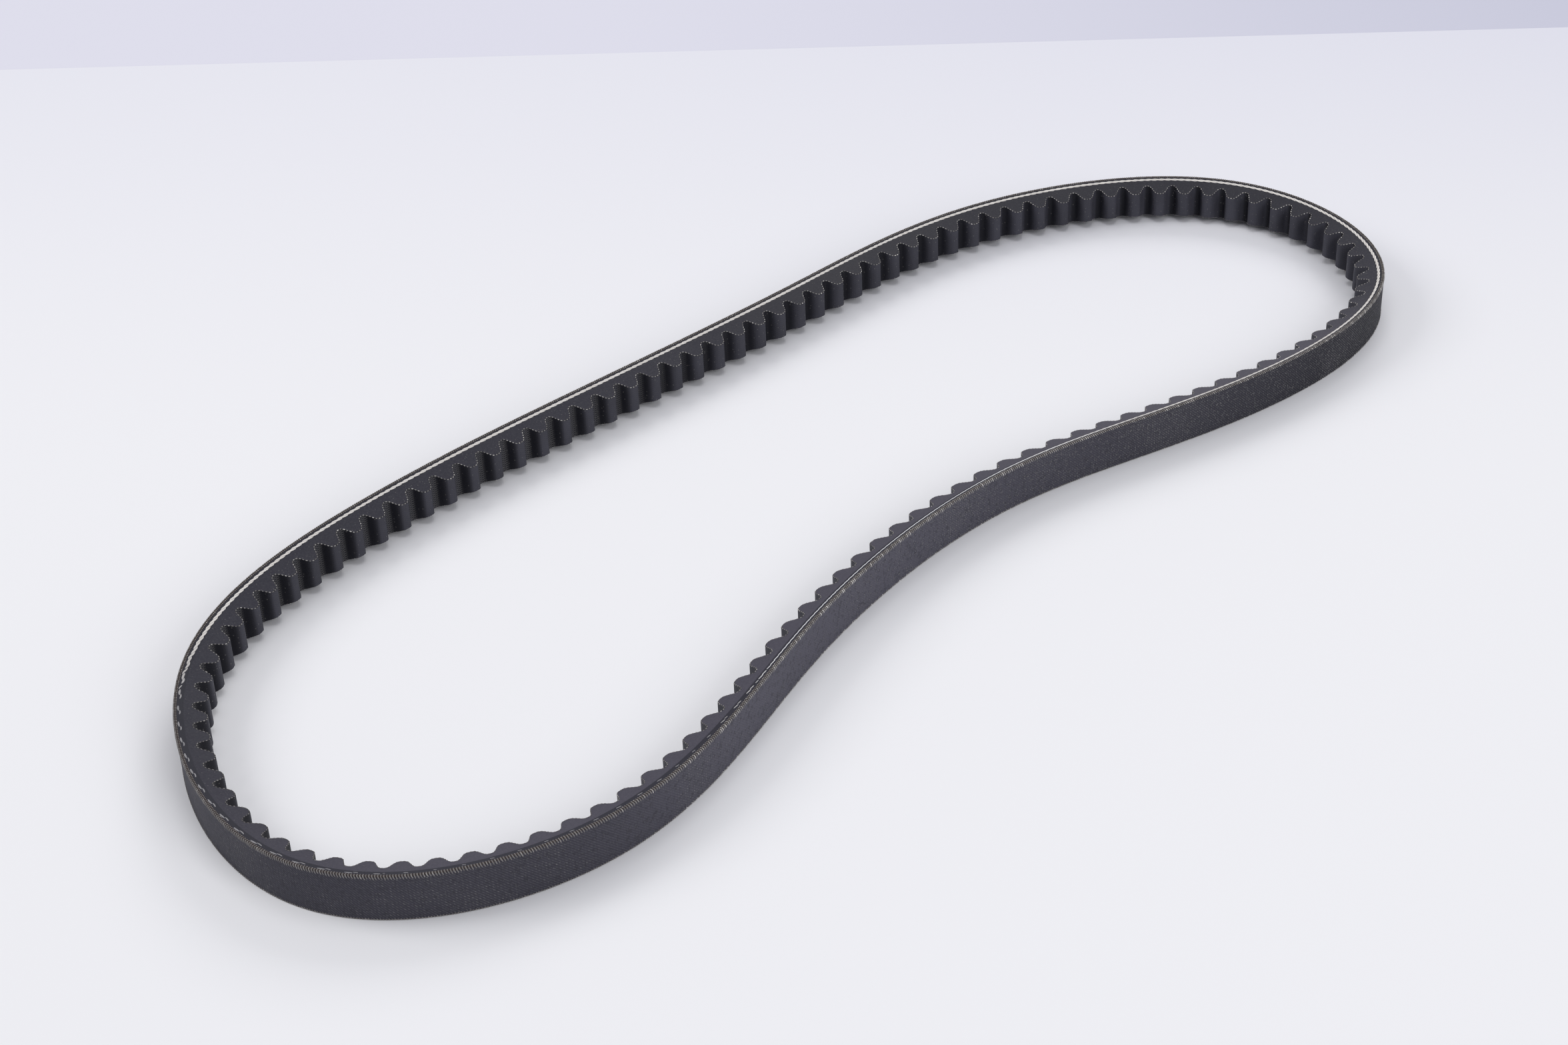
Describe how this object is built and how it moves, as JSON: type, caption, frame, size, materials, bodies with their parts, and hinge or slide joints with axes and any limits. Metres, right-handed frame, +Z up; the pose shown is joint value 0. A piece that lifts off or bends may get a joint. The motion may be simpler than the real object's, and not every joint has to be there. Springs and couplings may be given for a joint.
{
  "type": "fan belt",
  "caption": "Closed rubber V-belt with moulded cogs across its inner side, lying on its edge as a long kidney-shaped loop, for driving an engine's fan.",
  "frame": {"origin": "middle of the loop's box, on the surface that the belt lies on", "axes": "+Z up across the belt's width, X along the loop's length, -Y towards the side that bows inwards"},
  "size_m": [0.418, 0.1498, 0.013],
  "materials": {
    "belt_rubber": "matt black rubber with fabric on the back and over the cogs"
  },
  "bodies": {
    "root": {"fan_belt": "belt_rubber"}
  },
  "joints": []
}
